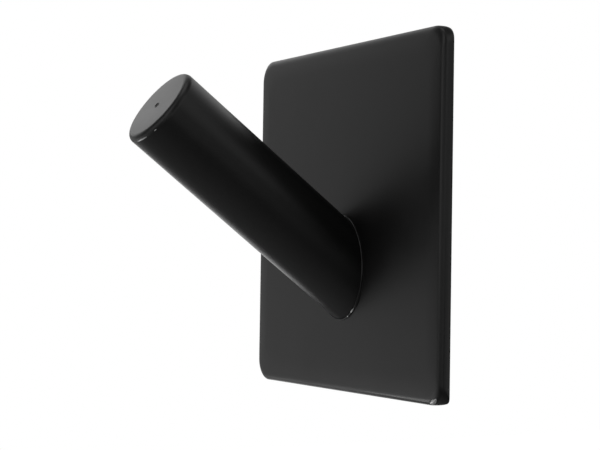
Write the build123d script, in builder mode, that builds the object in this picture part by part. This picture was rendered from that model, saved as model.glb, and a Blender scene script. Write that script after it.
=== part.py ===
import os
from math import cos, radians, sin, tan

from build123d import *

# A wall hook: a square plate, stuck to the wall by a foam pad, with a round peg that rises out of it.
# The origin is the centre of the pad's wall side. +Z is up, and the front faces -Y.
# All lengths are in millimetres and all angles in degrees.

# Backplate
plate_width = 51.0
plate_height = 51.0
plate_thickness = 2.0
plate_corner_radius = 2.5
front_edge_radius = 0.9
back_edge_break = 0.2

# Adhesive pad, set in from the plate's outline so that it doesn't show
pad_thickness = 1.0
pad_inset = 2.0
pad_corner_radius = 1.5

# Peg, a solid round bar cut off at a slant where it meets the plate
peg_diameter = 12.0
peg_length = 37.1
peg_rise_angle = 36.5
peg_root_height = -7.4
tip_edge_radius = 0.75
foot_edge_break = 0.2
centre_mark_diameter = 0.6
centre_mark_depth = 0.15

# Fixing screw, countersunk from the back of the plate into the peg's foot
screw_diameter = 4.0
screw_length = 8.0
screw_above_root = 1.0
screw_point_break = 0.4
head_diameter = 7.5
head_rim_height = 0.25
socket_width = 2.5
socket_depth = 1.2

# Clearances around the screw
thread_clearance = 0.05
head_clearance = 0.05
plate_hole_clearance = 0.25
tapped_hole_run_out = 0.6

# Places that follow from the sizes above
peg_radius = peg_diameter / 2
screw_radius = screw_diameter / 2
head_radius = head_diameter / 2
head_taper_height = head_radius - screw_radius
face_depth = pad_thickness + plate_thickness
screw_height = peg_root_height + screw_above_root
tapped_hole_depth = screw_length - plate_thickness + tapped_hole_run_out
peg_direction = Vector(0, -cos(radians(peg_rise_angle)), sin(radians(peg_rise_angle)))
peg_root = Vector(0, -face_depth, peg_root_height)
peg_axis = Axis(peg_root, peg_direction)
root_plane = Plane(origin=peg_root, x_dir=(1, 0, 0), z_dir=peg_direction)
face_plane = Plane.XZ.offset(face_depth)
foot_overrun = peg_radius * tan(radians(peg_rise_angle)) + peg_radius

# Planes across the screw's axis, with their normal out of the back of the plate
plate_back = Plane(origin=(0, -pad_thickness, screw_height), x_dir=(1, 0, 0), z_dir=(0, 1, 0))
head_shoulder = plate_back.offset(-head_rim_height)
peg_foot = plate_back.offset(-plate_thickness)

os.makedirs("parts", exist_ok=True)

# Backplate: rounded corners, a rolled front edge and a countersunk hole for the screw
with BuildPart() as backplate:
    with BuildSketch(Plane.XZ.offset(pad_thickness)):
        RectangleRounded(plate_width, plate_height, plate_corner_radius)
    extrude(amount=plate_thickness)
    fillet(backplate.edges().group_by(Axis.Y)[0], radius=front_edge_radius)
    chamfer(backplate.edges().group_by(Axis.Y)[-1], length=back_edge_break)
    with Locations(head_shoulder):
        CounterSinkHole(
            radius=screw_radius + plate_hole_clearance,
            counter_sink_radius=head_radius + head_clearance,
            depth=plate_thickness,
            counter_sink_angle=90,
        )
backplate.part.label = "backplate"
export_step(backplate.part, "parts/backplate.step")

# Peg: the slanted foot lies flat on the plate, and the end is square with a rounded edge
with BuildPart() as peg:
    with BuildSketch(root_plane.offset(-foot_overrun)):
        Circle(peg_radius)
    extrude(amount=foot_overrun + peg_length)
    split(bisect_by=face_plane, keep=Keep.TOP)
    fillet(peg.edges().filter_by(GeomType.CIRCLE).sort_by(peg_axis)[-1], radius=tip_edge_radius)
    chamfer(peg.edges().filter_by(GeomType.ELLIPSE), length=foot_edge_break)
    with Locations(root_plane.offset(peg_length - centre_mark_depth / 2)):
        Cone(
            bottom_radius=0,
            top_radius=centre_mark_diameter / 2,
            height=centre_mark_depth,
            mode=Mode.SUBTRACT,
        )
    with Locations(peg_foot):
        Hole(radius=screw_radius + thread_clearance, depth=tapped_hole_depth)
peg.part.label = "peg"
export_step(peg.part, "parts/peg.step")

# Fixing screw: turned about its axis, with a hexagon socket in the head
with BuildPart() as fixing_screw:
    with BuildSketch(Plane(origin=plate_back.origin, x_dir=(1, 0, 0), z_dir=(0, 0, 1))):
        with BuildLine():
            Polyline(
                (0, 0),
                (head_radius, 0),
                (head_radius, -head_rim_height),
                (screw_radius, -head_rim_height - head_taper_height),
                (screw_radius, -screw_length + screw_point_break),
                (screw_radius - screw_point_break, -screw_length),
                (0, -screw_length),
                close=True,
            )
        make_face()
    revolve(axis=Axis(plate_back.origin, (0, 1, 0)))
    with BuildSketch(plate_back):
        RegularPolygon(radius=socket_width / 2, side_count=6, major_radius=False)
    extrude(amount=-socket_depth, mode=Mode.SUBTRACT)
fixing_screw.part.label = "fixing_screw"
export_step(fixing_screw.part, "parts/fixing_screw.step")

# Adhesive pad: covers the back of the plate and the screw's head
with BuildPart() as adhesive_pad:
    with BuildSketch(Plane.XZ):
        RectangleRounded(plate_width - 2 * pad_inset, plate_height - 2 * pad_inset, pad_corner_radius)
    extrude(amount=pad_thickness)
adhesive_pad.part.label = "adhesive_pad"
export_step(adhesive_pad.part, "parts/adhesive_pad.step")
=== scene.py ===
from math import cos, pi, radians, sin

import bmesh
import bpy
from mathutils import Matrix, Vector


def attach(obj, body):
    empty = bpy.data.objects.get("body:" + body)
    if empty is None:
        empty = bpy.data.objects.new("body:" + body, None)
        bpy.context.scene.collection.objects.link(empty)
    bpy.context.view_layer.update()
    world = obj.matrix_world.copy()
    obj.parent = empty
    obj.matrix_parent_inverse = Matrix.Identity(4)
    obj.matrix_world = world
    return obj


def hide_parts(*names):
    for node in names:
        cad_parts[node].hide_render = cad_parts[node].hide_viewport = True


# An adhesive wall hook: a matt black plate on a foam pad, with a round peg that rises out of it.
# Lengths are in metres. The origin is the centre of the pad's wall side, +Z is up and the front faces -Y.

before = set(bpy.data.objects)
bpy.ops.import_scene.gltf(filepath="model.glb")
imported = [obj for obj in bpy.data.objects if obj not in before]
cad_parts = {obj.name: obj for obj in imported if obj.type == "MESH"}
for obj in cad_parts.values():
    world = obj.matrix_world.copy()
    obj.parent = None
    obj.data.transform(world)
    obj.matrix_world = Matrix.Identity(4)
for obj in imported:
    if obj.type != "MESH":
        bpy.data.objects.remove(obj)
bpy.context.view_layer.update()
MM = 0.001
RIGHT = Vector((1, 0, 0))
OUTWARD = Vector((0, -1, 0))
scene = bpy.context.scene

# Camera, fitted to the outlines in the photograph
FOCAL_LENGTH = 90.6
SENSOR_WIDTH = 36
CLIP_START = 0.01
CLIP_END = 50
CAMERA_AZIMUTH = radians(60.33)
CAMERA_PITCH = radians(1.3492)
CAMERA_ROLL = radians(-0.88585)
CAMERA_RIGHT = 6.0188 * MM
CAMERA_DOWN = -1.0796 * MM
CAMERA_DISTANCE = 222.046 * MM
PLATE_FRONT = Vector((0, -3 * MM, 0))


def add_camera():
    azimuth, pitch, roll = CAMERA_AZIMUTH, CAMERA_PITCH, CAMERA_ROLL
    ahead = Vector((-sin(azimuth) * cos(pitch), cos(azimuth) * cos(pitch), sin(pitch)))
    level = Vector((cos(azimuth), sin(azimuth), 0))
    below = ahead.cross(level)
    right = cos(roll) * level + sin(roll) * below
    down = -sin(roll) * level + cos(roll) * below
    data = bpy.data.cameras.new("camera")
    data.lens = FOCAL_LENGTH
    data.sensor_width = SENSOR_WIDTH
    data.clip_start = CLIP_START
    data.clip_end = CLIP_END
    camera = bpy.data.objects.new("camera", data)
    scene.collection.objects.link(camera)
    place = PLATE_FRONT - (CAMERA_RIGHT * right + CAMERA_DOWN * down + CAMERA_DISTANCE * ahead)
    turn = Matrix((right, -down, -ahead)).transposed().to_4x4()
    camera.matrix_world = Matrix.Translation(place) @ turn
    scene.camera = camera


# Softboxes all round the hook, each with its direction from the hook and its radiance
MIDDLE = Vector((0, -12 * MM, 0))
SOFTBOX_DISTANCE = 0.6
SOFTBOX_SIDE = 0.36
SOFTBOXES = {
    "right": ((1.0, -0.1, -0.05), 0.5),
    "right_high": ((0.85, 0.3, 0.4), 0.65),
    "right_back_low": ((0.6, 0.75, -0.2), 0.5),
    "right_back_high": ((0.5, 0.7, 0.5), 0.35),
    "front_right": ((0.7, -0.7, 0.0), 0.4),
    "front_right_high": ((0.3, -0.8, 0.55), 1.0),
    "front": ((0.0, -1.0, 0.05), 0.75),
    "front_low": ((-0.15, -0.85, -0.5), 0.3),
    "front_left": ((-0.85, -0.55, 0.1), 0.2),
    "front_left_low": ((-0.6, -0.65, -0.45), 0.95),
    "front_left_lower": ((-0.8, -0.45, -0.35), 0.2),
    "left": ((-0.95, -0.2, 0.2), 0.3),
    "left_low": ((-0.95, -0.05, -0.3), 0.25),
    "left_high": ((-0.85, -0.1, 0.5), 0.75),
    "back_left_low": ((-0.85, 0.4, -0.3), 1.25),
    "back_left": ((-0.6, 0.7, 0.35), 0.45),
    "back_left_high": ((-0.8, 0.2, 0.6), 0.5),
    "back_left_higher": ((-0.5, 0.6, 0.6), 0.2),
    "back_high": ((-0.15, 0.85, 0.45), 0.75),
    "above": ((-0.05, -0.15, 1.0), 1.0),
    "above_right": ((0.6, 0.1, 0.8), 0.35),
}
# A smaller softbox low on the left
KICKER_DIRECTION = (-0.85, -0.3, -0.45)
KICKER_SIDE = 0.14
KICKER_RADIANCE = 1.0

# Backdrop and floor
SURROUNDINGS = 0.1
BACKDROP_DIRECTION = (-0.87, 0.49, 0.0)
BACKDROP_EDGE = (0.95, 0.99)
FLOOR_HEIGHT = -0.6
FLOOR_SIZE = 8.0
PAPER_GREY = 0.62
PAPER_LIFT = 0.96


def add_softbox(name, direction, side, radiance):
    """A square lamp that faces the hook from the given direction."""
    data = bpy.data.lights.new(name, "AREA")
    data.shape = "SQUARE"
    data.size = side
    data.energy = radiance * pi * side**2
    light = bpy.data.objects.new(name, data)
    scene.collection.objects.link(light)
    way = Vector(direction).normalized()
    turn = way.to_track_quat("Z", "Y").to_matrix().to_4x4()
    light.matrix_world = Matrix.Translation(MIDDLE + way * SOFTBOX_DISTANCE) @ turn
    light.visible_camera = False


class Graph:
    """A node tree with short calls for adding nodes and links."""

    def __init__(self, tree):
        self.tree = tree
        tree.nodes.clear()

    def node(self, kind, links=(), **values):
        made = self.tree.nodes.new(kind)
        for name, value in values.items():
            setattr(made, name, value)
        for name, value in dict(links).items():
            socket = made.inputs[name]
            if isinstance(value, bpy.types.NodeSocket):
                self.tree.links.new(value, socket)
            else:
                socket.default_value = value
        return made

    def math(self, operation, first, second):
        return self.node("ShaderNodeMath", {0: first, 1: second}, operation=operation).outputs[0]

    def mapped(self, value, span, low, high, curve="LINEAR"):
        """A value that goes from low to high while the one given goes through the span."""
        sockets = {"Value": value, "From Min": span[0], "From Max": span[1], "To Min": low, "To Max": high}
        return self.node("ShaderNodeMapRange", sockets, interpolation_type=curve).outputs["Result"]


def make_world():
    """A dim studio with a white backdrop behind the hook, which the camera sees as white all over."""
    world = bpy.data.worlds.new("world")
    world.use_nodes = True
    graph = Graph(world.node_tree)
    ray = graph.node("ShaderNodeLightPath")
    way = graph.node("ShaderNodeTexCoord").outputs["Generated"]
    ways = {0: way, 1: BACKDROP_DIRECTION}
    toward = graph.node("ShaderNodeVectorMath", ways, operation="DOT_PRODUCT").outputs["Value"]
    backdrop = graph.mapped(toward, BACKDROP_EDGE, 0.0, 1.0, "SMOOTHSTEP")
    shiny = graph.math("MAXIMUM", ray.outputs["Is Glossy Ray"], ray.outputs["Is Transmission Ray"])
    mirrored = graph.math("MULTIPLY", shiny, backdrop)
    white = graph.math("MAXIMUM", ray.outputs["Is Camera Ray"], mirrored)
    strength = graph.mapped(white, (0.0, 1.0), SURROUNDINGS, 1.0)
    back = graph.node("ShaderNodeBackground", {"Color": (1, 1, 1, 1), "Strength": strength})
    graph.node("ShaderNodeOutputWorld", {"Surface": back.outputs[0]})
    scene.world = world


def make_floor():
    """Pale paper far below the hook, which the camera sees as nearly white."""
    half = FLOOR_SIZE / 2
    mesh = bpy.data.meshes.new("floor")
    corners = [(-half, -half, 0), (half, -half, 0), (half, half, 0), (-half, half, 0)]
    mesh.from_pydata(corners, [], [(0, 1, 2, 3)])
    floor = bpy.data.objects.new("floor", mesh)
    scene.collection.objects.link(floor)
    floor.location.z = FLOOR_HEIGHT
    paint = bpy.data.materials.new("floor_paper")
    paint.use_nodes = True
    graph = Graph(paint.node_tree)
    seen = graph.node("ShaderNodeLightPath").outputs["Is Camera Ray"]
    glow = graph.math("MULTIPLY", seen, PAPER_LIFT)
    paper = graph.node("ShaderNodeBsdfDiffuse", {"Color": (PAPER_GREY, PAPER_GREY, PAPER_GREY, 1)})
    lift = graph.node("ShaderNodeEmission", {"Color": (1, 1, 1, 1), "Strength": glow})
    both = graph.node("ShaderNodeAddShader", {0: paper.outputs[0], 1: lift.outputs[0]})
    graph.node("ShaderNodeOutputMaterial", {"Surface": both.outputs[0]})
    mesh.materials.append(paint)


add_camera()
for name, (direction, radiance) in SOFTBOXES.items():
    add_softbox(name, direction, SOFTBOX_SIDE, radiance)
add_softbox("low_kicker", KICKER_DIRECTION, KICKER_SIDE, KICKER_RADIANCE)
make_world()
make_floor()
scene.view_settings.view_transform = "Standard"

# Materials: each noise has a scale in waves per metre, and the middle of its range is what gets spread
NOISE_MIDDLE = (0.3, 0.7)
NOISE_DETAIL = 2.0
CLOUD_DETAIL = 3.0

COAT_CLOUDS = 160.0
COAT_PATCHES = 45.0
COAT_WAVES = 420.0
COAT_WAVE_HEIGHT = 0.0012 * MM
COAT_GRAIN = 2600.0
COAT_GRAIN_HEIGHT = 0.0024 * MM
COAT_TINT = (0.8, 1.2)
COAT_CLOUD_SHINE = 0.02
COAT_PATCH_SHINE = 0.012
COAT_IOR = 1.45

STEEL_CLOUDS = 900.0
STEEL_MARKS = 1500.0
STEEL_MARK_HEIGHT = 0.004 * MM
STEEL_TINT = (0.85, 1.1)
STEEL_SHINE = 0.06

FOAM_CLOUDS = 300.0
FOAM_CELLS = 3200.0
FOAM_PORE_HEIGHT = 0.05 * MM
FOAM_TINT = (0.014, 0.026)
FOAM_ROUGHNESS = 0.85

FILM_CLOUDS = 220.0
FILM_WAVES = 500.0
FILM_WAVE_HEIGHT = 0.02 * MM
FILM_TINT = (0.02, 0.03)
FILM_ROUGHNESS = (0.22, 0.34)


def spread(graph, value, low, high):
    """The middle of a noise's range, spread between two values."""
    return graph.mapped(value, NOISE_MIDDLE, low, high)


def noise(graph, place, scale, detail=NOISE_DETAIL):
    return graph.node("ShaderNodeTexNoise", {"Vector": place, "Scale": scale, "Detail": detail}).outputs[0]


def bump(graph, height, distance, under=None):
    links = {"Height": height, "Strength": 1.0, "Distance": distance}
    if under is not None:
        links["Normal"] = under
    return graph.node("ShaderNodeBump", links).outputs[0]


def new_material(name):
    paint = bpy.data.materials.new(name)
    paint.use_nodes = True
    graph = Graph(paint.node_tree)
    return paint, graph, graph.node("ShaderNodeTexCoord").outputs["Object"]


def add_surface(graph, sockets):
    shader = graph.node("ShaderNodeBsdfPrincipled", sockets)
    graph.node("ShaderNodeOutputMaterial", {"Surface": shader.outputs[0]})


def black_coat(name, base, roughness, ior=COAT_IOR):
    """Fine-grained powder coat: faint waves, a fine grain, and slightly shinier and duller patches."""
    paint, graph, place = new_material(name)
    cloud = noise(graph, place, COAT_CLOUDS, CLOUD_DETAIL)
    patches = noise(graph, place, COAT_PATCHES)
    near = spread(graph, cloud, roughness - COAT_CLOUD_SHINE, roughness + COAT_CLOUD_SHINE)
    far = spread(graph, patches, -COAT_PATCH_SHINE, COAT_PATCH_SHINE)
    rough = graph.math("ADD", near, far)
    tint = spread(graph, cloud, base * COAT_TINT[0], base * COAT_TINT[1])
    waves = bump(graph, noise(graph, place, COAT_WAVES), COAT_WAVE_HEIGHT)
    grain = bump(graph, noise(graph, place, COAT_GRAIN), COAT_GRAIN_HEIGHT, waves)
    add_surface(graph, {"Base Color": tint, "Roughness": rough, "IOR": ior, "Normal": grain})
    return paint


def bright_steel(name, base, roughness, crowding):
    """Bare or plated steel with a mottled tint, and fine marks that crowd together along Y."""
    paint, graph, place = new_material(name)
    cloud = noise(graph, place, STEEL_CLOUDS, CLOUD_DETAIL)
    tint = spread(graph, cloud, base * STEEL_TINT[0], base * STEEL_TINT[1])
    rough = spread(graph, cloud, roughness - STEEL_SHINE, roughness + STEEL_SHINE)
    crowded = {"Vector": place, "Scale": (1.0, crowding, 1.0)}
    along = graph.node("ShaderNodeMapping", crowded).outputs[0]
    marks = bump(graph, noise(graph, along, STEEL_MARKS), STEEL_MARK_HEIGHT)
    add_surface(graph, {"Base Color": tint, "Metallic": 1.0, "Roughness": rough, "Normal": marks})
    return paint


def foam(name):
    """Closed-cell foam: dull, with open pores where it was cut."""
    paint, graph, place = new_material(name)
    cells = graph.node("ShaderNodeTexVoronoi", {"Vector": place, "Scale": FOAM_CELLS}).outputs["Distance"]
    cloud = noise(graph, place, FOAM_CLOUDS, CLOUD_DETAIL)
    tint = spread(graph, cloud, *FOAM_TINT)
    pores = bump(graph, cells, FOAM_PORE_HEIGHT)
    add_surface(graph, {"Base Color": tint, "Roughness": FOAM_ROUGHNESS, "Normal": pores})
    return paint


def glue_film(name):
    """The sticky side of the tape: a thin skin over the foam, with faint waves and uneven shine."""
    paint, graph, place = new_material(name)
    cloud = noise(graph, place, FILM_CLOUDS, CLOUD_DETAIL)
    tint = spread(graph, cloud, *FILM_TINT)
    rough = spread(graph, cloud, *FILM_ROUGHNESS)
    waves = bump(graph, noise(graph, place, FILM_WAVES), FILM_WAVE_HEIGHT)
    add_surface(graph, {"Base Color": tint, "Roughness": rough, "Normal": waves})
    return paint


def dress(node, material):
    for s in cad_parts[node].material_slots:
        s.material = material


def add_piece(name, mesh, material):
    piece = bpy.data.objects.new(name, mesh)
    scene.collection.objects.link(piece)
    mesh.materials.clear()
    mesh.materials.append(material)
    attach(piece, "root")
    return piece


coat = black_coat("powder_coat", base=0.003, roughness=0.37)
# Bright bare steel, used to paint the glints and highlights on the peg's end, in the seam and at the
# plate's lower right corner
glint_steel = bright_steel("painted_glint_steel", base=0.55, roughness=0.35, crowding=1.0)
plated = bright_steel("zinc_plate", base=0.6, roughness=0.3, crowding=8.0)
pad_foam = foam("pad_foam")
pad_film = glue_film("pad_film")
dress("backplate", coat)
dress("peg", coat)
dress("fixing_screw", plated)
dress("adhesive_pad", pad_foam)

# Plate: a face that falls away gently towards its edges, with corners that are tighter at the back
PLATE_HALF = 25.5 * MM
PLATE_BACK = -1 * MM
PLATE_FACE = -3 * MM
BACK_INSET = 0.28 * MM
BACK_DEPTH = 1.1 * MM
BACK_STEPS = 6
CROWN_RADIUS = 30 * MM
CROWN_TILT = radians(5)
CROWN_STEPS = 12
EDGE_RADIUS = 0.75 * MM
EDGE_STEPS = 8
EDGE_TUCK = 0.3 * MM
BACK_CORNER = 0.7 * MM
UPPER_BACK_CORNER = 1.6 * MM
WALL_CORNER = 2.7 * MM
FACE_CORNER = 3.4 * MM
CORNER_STEPS = 12
QUARTERS = ((1, 1), (-1, 1), (-1, -1), (1, -1))

# Countersunk hole in the plate's back, where the screw sits, cut with a shape that overruns the plate
HOLE_HEIGHT = -6.4 * MM
HOLE_RADIUS = 2.25 * MM
HEAD_SEAT_RADIUS = 3.8 * MM
HEAD_RIM = 0.25 * MM
HOLE_OVERRUN = 0.3 * MM
HOLE_STEPS = 64


def full_turn(steps):
    return [2 * pi * k / steps for k in range(steps)]


def join_loops(bm, loops):
    """Faces between each loop of points and the next, all the way round."""
    n = len(loops[0])
    for low, high in zip(loops, loops[1:]):
        for k in range(n):
            j = (k + 1) % n
            bm.faces.new((low[k], low[j], high[j], high[k]))


def shade_smooth(bm):
    for face in bm.faces:
        face.smooth = True


def mesh_of(bm, name):
    """The finished mesh of a closed shape, with its faces turned outwards."""
    bmesh.ops.recalc_face_normals(bm, faces=bm.faces)
    mesh = bpy.data.meshes.new(name)
    bm.to_mesh(mesh)
    bm.free()
    return mesh


def rounded_square(half, upper, lower, y, tuck):
    """Points round a square of 2 * half at the depth y, with its top and bottom tucked in a little more."""
    points = []
    for quarter, (side_x, side_z) in enumerate(QUARTERS):
        radius = upper if side_z > 0 else lower
        for k in range(CORNER_STEPS + 1):
            angle = (quarter + k / CORNER_STEPS) * pi / 2
            x = side_x * (half - radius) + radius * cos(angle)
            z = side_z * (half - radius - tuck) + radius * sin(angle)
            points.append((x, y, z))
    return points


def edge_profile():
    """Rings from the plate's back, over its edge, to the flat of its face, as ringed_mesh takes them."""
    rows = []
    for k in range(BACK_STEPS + 1):
        angle = pi / 2 * k / BACK_STEPS
        upper = UPPER_BACK_CORNER + (WALL_CORNER - UPPER_BACK_CORNER) * k / BACK_STEPS
        lower = BACK_CORNER + (WALL_CORNER - BACK_CORNER) * k / BACK_STEPS
        y = PLATE_BACK - BACK_DEPTH * (1 - cos(angle))
        rows.append((BACK_INSET * (1 - sin(angle)), upper, lower, y, 0.0))
    fall = CROWN_RADIUS * (1 - cos(CROWN_TILT))
    edge_width = EDGE_RADIUS * (1 - sin(CROWN_TILT))
    crown_width = CROWN_RADIUS * sin(CROWN_TILT)
    whole = edge_width + crown_width
    for k in range(EDGE_STEPS + 1):
        tilt = pi / 2 - (pi / 2 - CROWN_TILT) * k / EDGE_STEPS
        inset = EDGE_RADIUS * (1 - sin(tilt))
        y = PLATE_FACE + fall + EDGE_RADIUS * (cos(CROWN_TILT) - cos(tilt))
        corner = WALL_CORNER + (FACE_CORNER - WALL_CORNER) * inset / whole
        rows.append((inset, corner, corner, y, EDGE_TUCK * inset / edge_width))
    for k in range(1, CROWN_STEPS + 1):
        tilt = CROWN_TILT * (1 - k / CROWN_STEPS)
        inset = whole - CROWN_RADIUS * sin(tilt)
        y = PLATE_FACE + CROWN_RADIUS * (1 - cos(tilt))
        corner = WALL_CORNER + (FACE_CORNER - WALL_CORNER) * inset / whole
        rows.append((inset, corner, corner, y, EDGE_TUCK))
    return rows


def ringed_mesh(name, half, rings):
    """A closed slab, back to front, through rings of (inset, upper corner, lower corner, depth, tuck)."""
    bm = bmesh.new()
    loops = []
    for inset, upper, lower, y, tuck in rings:
        loops.append([bm.verts.new(p) for p in rounded_square(half - inset, upper, lower, y, tuck)])
    join_loops(bm, loops)
    back = loops[0]
    bm.faces.new(back)
    bm.faces.new(reversed(loops[-1]))
    shade_smooth(bm)
    for start, end in zip(back, back[1:] + back[:1]):
        bm.edges.get((start, end)).smooth = False
    return mesh_of(bm, name)


def hole_mesh(name, rows):
    """A closed solid of revolution about the screw's axis, through rows of (radius, depth)."""
    bm = bmesh.new()
    turns = full_turn(HOLE_STEPS)
    loops = []
    for radius, y in rows:
        loops.append([bm.verts.new((radius * cos(a), y, HOLE_HEIGHT + radius * sin(a))) for a in turns])
    join_loops(bm, loops)
    bm.faces.new(loops[0])
    bm.faces.new(loops[-1])
    return mesh_of(bm, name)


def screw_hole_mesh():
    shoulder = PLATE_BACK - HEAD_RIM
    throat = shoulder - (HEAD_SEAT_RADIUS - HOLE_RADIUS)
    rows = (
        (HEAD_SEAT_RADIUS, PLATE_BACK + HOLE_OVERRUN),
        (HEAD_SEAT_RADIUS, shoulder),
        (HOLE_RADIUS, throat),
        (HOLE_RADIUS, PLATE_FACE - HOLE_OVERRUN),
    )
    return hole_mesh("screw_hole", rows)


def cut_hole(piece, shape):
    tool = bpy.data.objects.new("hole_tool", shape)
    scene.collection.objects.link(tool)
    cut = piece.modifiers.new("hole", "BOOLEAN")
    cut.operation = "DIFFERENCE"
    cut.solver = "EXACT"
    cut.object = tool
    evaluated = piece.evaluated_get(bpy.context.evaluated_depsgraph_get())
    result = bpy.data.meshes.new_from_object(evaluated)
    piece.modifiers.clear()
    piece.data = result
    bpy.data.objects.remove(tool)


plate_mesh = ringed_mesh("plate", PLATE_HALF, edge_profile())
plate = add_piece("soft_edged_plate", plate_mesh, coat)
cut_hole(plate, screw_hole_mesh())
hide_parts("backplate")

# Foam tape: die-cut, so its sides pull in a little between the two glued skins
PAD_HALF = 23.5 * MM
PAD_THICKNESS = 1 * MM
PAD_CORNER = 1.5 * MM
PAD_EDGE = 0.03 * MM
PAD_WAIST = 0.07 * MM
PAD_STEPS = 10
SKIN_NORMAL = 0.9


def pad_profile():
    rows = [(PAD_EDGE, PAD_CORNER, PAD_CORNER, 0.0, 0.0)]
    for k in range(PAD_STEPS + 1):
        part = k / PAD_STEPS
        y = -PAD_EDGE - (PAD_THICKNESS - 2 * PAD_EDGE) * part
        rows.append((PAD_WAIST * sin(pi * part), PAD_CORNER, PAD_CORNER, y, 0.0))
    rows.append((PAD_EDGE, PAD_CORNER, PAD_CORNER, -PAD_THICKNESS, 0.0))
    return rows


pad_mesh = ringed_mesh("pad", PAD_HALF, pad_profile())
pad = add_piece("foam_tape", pad_mesh, pad_foam)
pad.data.materials.append(pad_film)
for face in pad.data.polygons:
    if abs(face.normal.y) > SKIN_NORMAL:
        face.material_index = 1
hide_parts("adhesive_pad")

# Peg, placed as in the CAD, with its coat and the soft round of its end
PEG_RISE = radians(36.5)
PEG_WAY = Vector((0, -cos(PEG_RISE), sin(PEG_RISE)))
PEG_UP = Vector((0, sin(PEG_RISE), cos(PEG_RISE)))
PEG_ROOT = Vector((0, PLATE_FACE, -7.4 * MM))
PEG_RADIUS = 6.05 * MM
PEG_LENGTH = 37.13 * MM
PEG_OVERRUN = 11 * MM
PEG_SIDES = 144
TIP_ROUND = 0.9 * MM
TIP_STEPS = 14
SHARP_ANGLE = radians(20)

# Narrow rings that keep the wall and the end flat right up to the round between them
HOLD = 0.03 * MM

# Mark of the lathe's centre in the end face
MARK_RADIUS = 0.3 * MM
MARK_DEPTH = 0.04 * MM
MARK_FLOOR = 0.22 * MM

# Tapped hole for the screw in the peg's foot
TAPPED_RADIUS = 2.05 * MM
TAPPED_DEPTH = 6.6 * MM


def peg_point(along, angle, radius):
    """A point by its place along the peg's axis, its angle round it and its distance from it."""
    return PEG_ROOT + PEG_WAY * along + radius * (cos(angle) * RIGHT + sin(angle) * PEG_UP)


def peg_profile():
    """Radii and places along the axis, from past the foot to the floor of the centre mark."""
    shoulder = PEG_LENGTH - TIP_ROUND
    rows = [(PEG_RADIUS, -PEG_OVERRUN), (PEG_RADIUS, shoulder - HOLD)]
    for k in range(TIP_STEPS + 1):
        angle = pi / 2 * k / TIP_STEPS
        rows.append((PEG_RADIUS - TIP_ROUND * (1 - cos(angle)), shoulder + TIP_ROUND * sin(angle)))
    rows.append((PEG_RADIUS - TIP_ROUND - HOLD, PEG_LENGTH))
    rows.append((MARK_RADIUS, PEG_LENGTH))
    rows.append((MARK_FLOOR, PEG_LENGTH - MARK_DEPTH))
    return rows


def peg_mesh():
    """The coated bar, turned about its axis and cut off where it meets the plate."""
    bm = bmesh.new()
    turns = full_turn(PEG_SIDES)
    loops = []
    for radius, along in peg_profile():
        loops.append([bm.verts.new(peg_point(along, a, radius)) for a in turns])
    join_loops(bm, loops)
    bm.faces.new(loops[-1])
    bmesh.ops.bisect_plane(
        bm,
        geom=bm.verts[:] + bm.edges[:] + bm.faces[:],
        plane_co=(0, PLATE_FACE, 0),
        plane_no=(0, 1, 0),
        clear_outer=True,
    )
    bmesh.ops.holes_fill(bm, edges=[e for e in bm.edges if e.is_boundary], sides=0)
    return mesh_of(bm, "peg")


def tapped_hole_mesh():
    rows = ((TAPPED_RADIUS, PLATE_FACE + HOLE_OVERRUN), (TAPPED_RADIUS, PLATE_FACE - TAPPED_DEPTH))
    return hole_mesh("tapped_hole", rows)


coated_peg = add_piece("coated_peg", peg_mesh(), coat)
cut_hole(coated_peg, tapped_hole_mesh())
coated_peg.data.shade_smooth()
coated_peg.data.set_sharp_from_angle(angle=SHARP_ANGLE)
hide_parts("peg")


def bead_mesh(name, points, radii, up, sides, closed):
    """A thin rod along a flat path, with a radius of its own at each point."""
    bm = bmesh.new()
    last = len(points) - 1
    turns = full_turn(sides)
    rings = []
    for i, (point, radius) in enumerate(zip(points, radii)):
        before = points[i - 1] if closed or i > 0 else point
        after = points[(i + 1) % len(points)] if closed or i < last else point
        along = (after - before).normalized()
        out = along.cross(up).normalized()
        rings.append([bm.verts.new(point + radius * (cos(a) * out + sin(a) * up)) for a in turns])
    if closed:
        join_loops(bm, rings + rings[:1])
    else:
        join_loops(bm, rings)
        bm.faces.new(rings[0])
        bm.faces.new(rings[-1])
    shade_smooth(bm)
    return mesh_of(bm, name)


def add_bead(name, points, radii, up, sides, material, closed=False):
    mesh = bead_mesh(name, points, radii, up, sides, closed)
    add_piece(name, mesh, material)


# Paint that has gathered in the seam round the peg's foot, as an uneven bead
SEAM_OFFSET = 0.12 * MM
SEAM_HUG = 0.8
SEAM_DEPTH = -3.05 * MM
SEAM_RADIUS = 0.15 * MM
SEAM_STEPS = 360
SEAM_SIDES = 16

# Waves in the bead's thickness, each with its height, its count round the foot and its start
SEAM_WAVES = ((0.10, 5, 1.0), (0.08, 13, 2.1), (0.05, 29, 0.0))

# Where the bead swells and where it thins out: how much, at which angle and how closely round it
SEAM_SWELL = 0.6
SEAM_SWELL_TURN = radians(70)
SEAM_SWELL_POWER = 60
SEAM_THIN = 0.6
SEAM_THIN_TURN = radians(-105)
SEAM_THIN_POWER = 5


def seam_radius(angle):
    share = 1.0
    for height, count, start in SEAM_WAVES:
        share += height * sin(count * angle + start)
    share += SEAM_SWELL * max(0.0, cos(angle - SEAM_SWELL_TURN)) ** SEAM_SWELL_POWER
    share -= SEAM_THIN * max(0.0, cos(angle - SEAM_THIN_TURN)) ** SEAM_THIN_POWER
    return SEAM_RADIUS * share


def seam_point(angle, offset):
    """A point in front of the plate, round the ellipse where the peg meets it."""
    across = PEG_RADIUS + offset
    tall = PEG_RADIUS / cos(PEG_RISE) + offset
    return Vector((across * cos(angle), SEAM_DEPTH, PEG_ROOT.z + tall * sin(angle)))


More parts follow.
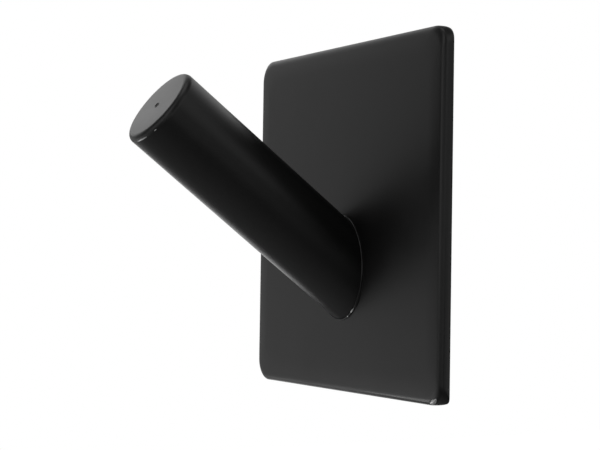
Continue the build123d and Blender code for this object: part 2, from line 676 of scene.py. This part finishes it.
turns = full_turn(SEAM_STEPS)
radii = [seam_radius(a) for a in turns]
points = [seam_point(a, min(SEAM_OFFSET, SEAM_HUG * r)) for a, r in zip(turns, radii)]
bead_coat = black_coat("gathered_coat", base=0.003, roughness=0.3)
add_bead("seam_bead", points, radii, OUTWARD, SEAM_SIDES, bead_coat, closed=True)

# Thickness of a tapered bead's ends, as a share of its middle
TAPER_END = 0.15


def between(start, end, part):
    return start + (end - start) * part


def tapered(start, end, steps, radius):
    """Angles from start to end, with radii that swell from thin ends to the given radius."""
    parts = [k / steps for k in range(steps + 1)]
    radii = [radius * max(TAPER_END, sin(pi * p)) for p in parts]
    return [between(start, end, p) for p in parts], radii


# Painted glints: strips and specks of bright bare steel, put where highlights fall on the peg's rounded end
# and in the seam. Each has its first and last angle round the peg, and radius
GLINT_SIDES = 12
TIP_GLINTS = {
    "tip_glint_long": (radians(-87), radians(-60), 0.12 * MM),
    "tip_glint_short": (radians(-49), radians(-43), 0.08 * MM),
}
TIP_GLINT_BACK = 0.67 * MM
TIP_GLINT_SINK = 0.07 * MM
TIP_GLINT_STEPS = 24
SEAM_GLINTS = {
    "seam_glint_long": (radians(-58), radians(-48), 0.15 * MM),
    "seam_glint_short": (radians(-67), radians(-64), 0.14 * MM),
}
SEAM_GLINT_OFFSET = 0.05 * MM
SEAM_GLINT_RAISE = 0.1 * MM
SEAM_GLINT_STEPS = 12
for name, (start, end, radius) in TIP_GLINTS.items():
    turns, radii = tapered(start, end, TIP_GLINT_STEPS, radius)
    points = [peg_point(PEG_LENGTH - TIP_GLINT_BACK, a, PEG_RADIUS - TIP_GLINT_SINK) for a in turns]
    add_bead(name, points, radii, PEG_WAY, GLINT_SIDES, glint_steel)
for name, (start, end, radius) in SEAM_GLINTS.items():
    turns, radii = tapered(start, end, SEAM_GLINT_STEPS, radius)
    points = [seam_point(a, SEAM_OFFSET + SEAM_GLINT_OFFSET) + SEAM_GLINT_RAISE * OUTWARD for a in turns]
    add_bead(name, points, radii, OUTWARD, GLINT_SIDES, glint_steel)

# Painted highlight on the rolled edge, round the plate's lower right corner: a patch of bright bare steel
# where the corner catches the light
CORNER_HIGHLIGHT_START = radians(-92)
CORNER_HIGHLIGHT_END = radians(-40)
CORNER_HIGHLIGHT_IN = 0.38 * MM
CORNER_HIGHLIGHT_DEPTH = -2.53 * MM
CORNER_HIGHLIGHT_RADIUS = 0.34 * MM
CORNER_HIGHLIGHT_STEPS = 16
HIGHLIGHT_SIDES = 16
turns, radii = tapered(CORNER_HIGHLIGHT_START, CORNER_HIGHLIGHT_END, CORNER_HIGHLIGHT_STEPS, CORNER_HIGHLIGHT_RADIUS)
hub = Vector((PLATE_HALF - WALL_CORNER, CORNER_HIGHLIGHT_DEPTH, WALL_CORNER - PLATE_HALF))
points = [hub + (WALL_CORNER - CORNER_HIGHLIGHT_IN) * Vector((cos(a), 0, sin(a))) for a in turns]
add_bead("corner_highlight", points, radii, OUTWARD, HIGHLIGHT_SIDES, glint_steel)

# Painted highlight along the plate's lower edge: a pale coat, wider towards that corner where the rolled
# edge is brightest
EDGE_HIGHLIGHT_START = 3 * MM
EDGE_HIGHLIGHT_END = 23.5 * MM
EDGE_HIGHLIGHT_HEIGHT = -24.86 * MM
EDGE_HIGHLIGHT_DEPTH = -2.62 * MM
EDGE_HIGHLIGHT_THIN = 0.18 * MM
EDGE_HIGHLIGHT_WIDE = 0.27 * MM
EDGE_HIGHLIGHT_STEPS = 40
points = []
radii = []
for k in range(EDGE_HIGHLIGHT_STEPS + 1):
    part = k / EDGE_HIGHLIGHT_STEPS
    x = between(EDGE_HIGHLIGHT_START, EDGE_HIGHLIGHT_END, part)
    points.append(Vector((x, EDGE_HIGHLIGHT_DEPTH, EDGE_HIGHLIGHT_HEIGHT)))
    radii.append(between(EDGE_HIGHLIGHT_THIN, EDGE_HIGHLIGHT_WIDE, part))
highlight_coat = black_coat("painted_highlight_coat", base=0.18, roughness=0.42)
add_bead("edge_highlight", points, radii, OUTWARD, HIGHLIGHT_SIDES, highlight_coat)

# Painted shade in the seam, low on its right: a dull dark bead where the gap lies in shadow
POOL_START = radians(-60)
POOL_END = radians(-14)
POOL_OFFSET = 0.26 * MM
POOL_SINK = 0.24 * MM
POOL_RADIUS = 0.38 * MM
POOL_STEPS = 40
POOL_SIDES = 24
turns, radii = tapered(POOL_START, POOL_END, POOL_STEPS, POOL_RADIUS)
points = [seam_point(a, POOL_OFFSET) - POOL_SINK * OUTWARD for a in turns]
shade_coat = black_coat("painted_seam_shade", base=0.004, roughness=0.5, ior=1.2)
add_bead("seam_shade_pool", points, radii, OUTWARD, POOL_SIDES, shade_coat)

# Raised rim that the lathe's centre left round its mark
RIM_RADIUS = 0.38 * MM
RIM_THICKNESS = 0.05 * MM
RIM_STEPS = 48
RIM_SIDES = 12
points = [peg_point(PEG_LENGTH, a, RIM_RADIUS) for a in full_turn(RIM_STEPS)]
add_bead("centre_rim", points, [RIM_THICKNESS] * RIM_STEPS, PEG_WAY, RIM_SIDES, coat, closed=True)
